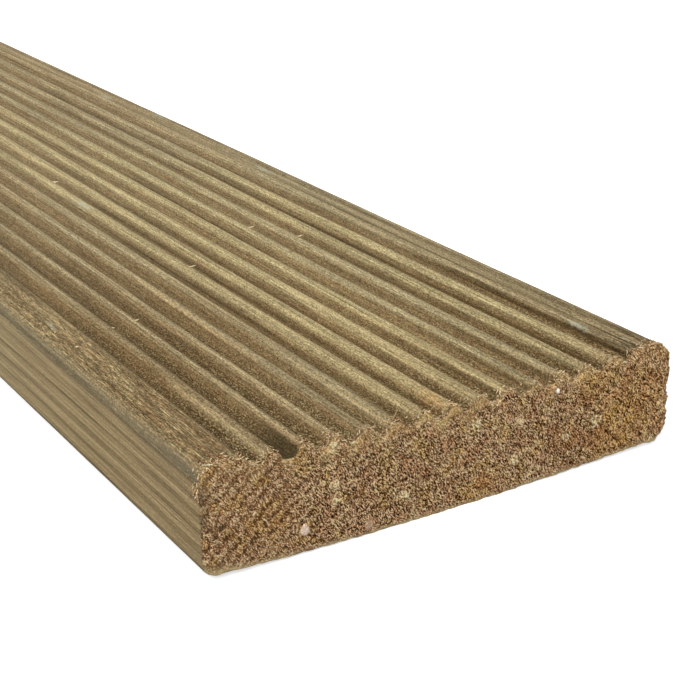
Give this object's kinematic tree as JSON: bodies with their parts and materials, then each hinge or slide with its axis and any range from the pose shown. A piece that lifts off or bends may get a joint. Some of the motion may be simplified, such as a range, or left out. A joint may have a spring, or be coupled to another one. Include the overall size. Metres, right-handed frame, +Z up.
{
  "type": "decking board",
  "caption": "Pressure-treated softwood decking board with rounded grooves along its walking face, eased long edges, rough-sawn ends and a slight cup across its width.",
  "frame": {"origin": "centre of the board's underside, on its lowest line, midway along its length", "axes": "+X along the length, +Y across the width, +Z up through the thickness to the grooved face"},
  "size_m": [1.8, 0.14, 0.0298],
  "materials": {
    "treated_softwood": "planed and grooved pressure-treated softwood, fuzzy in the grooves, rough-sawn on the ends"
  },
  "bodies": {
    "root": {"decking_board": "treated_softwood"}
  },
  "joints": []
}
